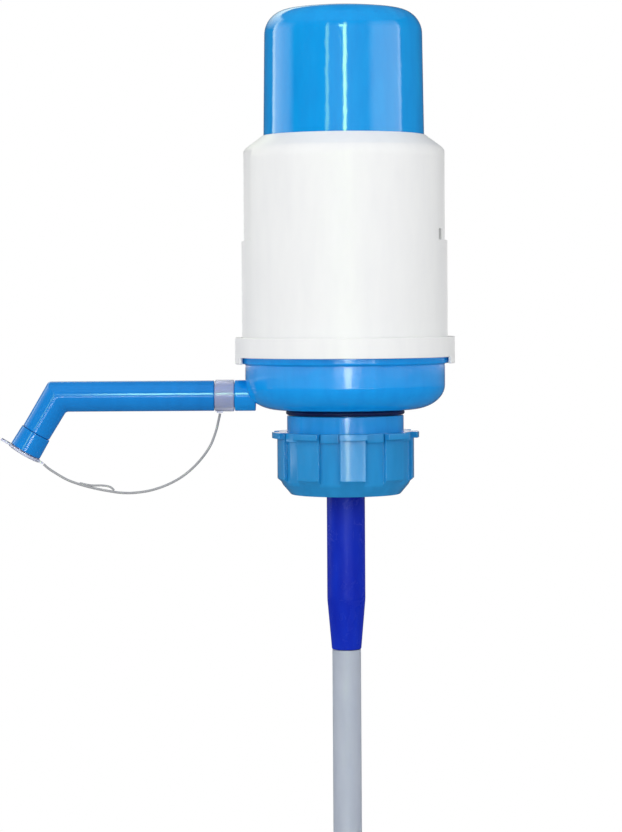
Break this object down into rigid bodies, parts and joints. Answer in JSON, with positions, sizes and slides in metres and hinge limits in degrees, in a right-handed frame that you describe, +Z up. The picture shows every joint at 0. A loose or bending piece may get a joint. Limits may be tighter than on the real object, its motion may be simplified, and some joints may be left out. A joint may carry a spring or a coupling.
{
  "type": "water jug hand pump",
  "caption": "Hand pump for a refillable water jug: a domed press cap slides in a white barrel over a bowl with a swivelling bent spout, a screw collar and a long dip tube.",
  "frame": {"origin": "on the pump's axis, in the plane where the jug's rim meets the bottle gasket", "axes": "+Z up along the pump's axis, -X towards the spout, -Y towards the viewer of the picture"},
  "size_m": [0.2185, 0.1054, 0.6846],
  "materials": {
    "blue_abs": "glossy moulded, sky blue",
    "teal_polypropylene": "satin moulded, a slightly greyer blue",
    "white_abs": "satin moulded, white",
    "deep_blue_polypropylene": "satin moulded, deep blue",
    "navy_rubber": "dull, very dark blue",
    "grey_rubber": "dull, mid grey",
    "clear_pvc": "clear and slightly blue",
    "milky_polyethylene": "translucent, milky",
    "spring_steel": "bright wire"
  },
  "bodies": {
    "pump_body": {"bowl": "blue_abs", "neck": "blue_abs", "barrel": "white_abs", "base_ring": "white_abs", "valve_plate": "white_abs", "bellows_clamp_ring": "white_abs", "water_duct": "white_abs", "riser_sleeve": "deep_blue_polypropylene", "neck_seal": "navy_rubber", "bottle_gasket": "grey_rubber", "chamber_gasket": "grey_rubber", "bellows": "grey_rubber", "dip_tube_upper": "milky_polyethylene", "dip_tube_middle": "milky_polyethylene", "dip_tube_lower": "milky_polyethylene", "tube_coupler_upper": "milky_polyethylene", "tube_coupler_lower": "milky_polyethylene", "return_spring": "spring_steel", "plate_screw_1": "spring_steel", "plate_screw_2": "spring_steel", "plate_screw_3": "spring_steel"},
    "plunger": {"press_cap": "blue_abs", "bellows_top_plate": "white_abs"},
    "intake_valve": {"intake_valve": "grey_rubber"},
    "delivery_valve": {"delivery_valve": "grey_rubber"},
    "spout": {"spout_tube": "blue_abs", "spout_tip": "blue_abs", "spout_seal": "navy_rubber", "strap_ring": "clear_pvc", "leash": "clear_pvc"},
    "spout_cap": {"spout_cap": "clear_pvc"},
    "collar": {"collar": "teal_polypropylene"}
  },
  "joints": [
    {"name": "press_stroke", "type": "slide", "parent": "pump_body", "child": "plunger", "axis": [0, 0, -1], "range_m": [0, 0.045], "stiffness_N_per_m": 500, "springref_m": -0.015, "deforming": ["bellows", "return_spring"]},
    {"name": "intake_valve_lift", "type": "slide", "parent": "plunger", "child": "intake_valve", "axis": [0, 0, -1], "range_m": [0, 0.0012], "stiffness_N_per_m": 20, "springref_m": -0.0015},
    {"name": "delivery_valve_lift", "type": "slide", "parent": "pump_body", "child": "delivery_valve", "axis": [0, 0, -1], "range_m": [0, 0.0012], "stiffness_N_per_m": 20, "springref_m": -0.0015},
    {"name": "spout_swivel", "type": "hinge", "parent": "pump_body", "child": "spout", "pos_m": [-0.0629, 0, 0.0248], "axis": [-1, 0, 0], "continuous": true},
    {"name": "stopper_pull", "type": "slide", "parent": "spout", "child": "spout_cap", "axis": [-0.515, 0, -0.8572], "range_m": [0, 0.008]},
    {"name": "collar_turn", "type": "hinge", "parent": "pump_body", "child": "collar", "pos_m": [0, 0, 0], "axis": [0, 0, 1], "continuous": true}
  ]
}
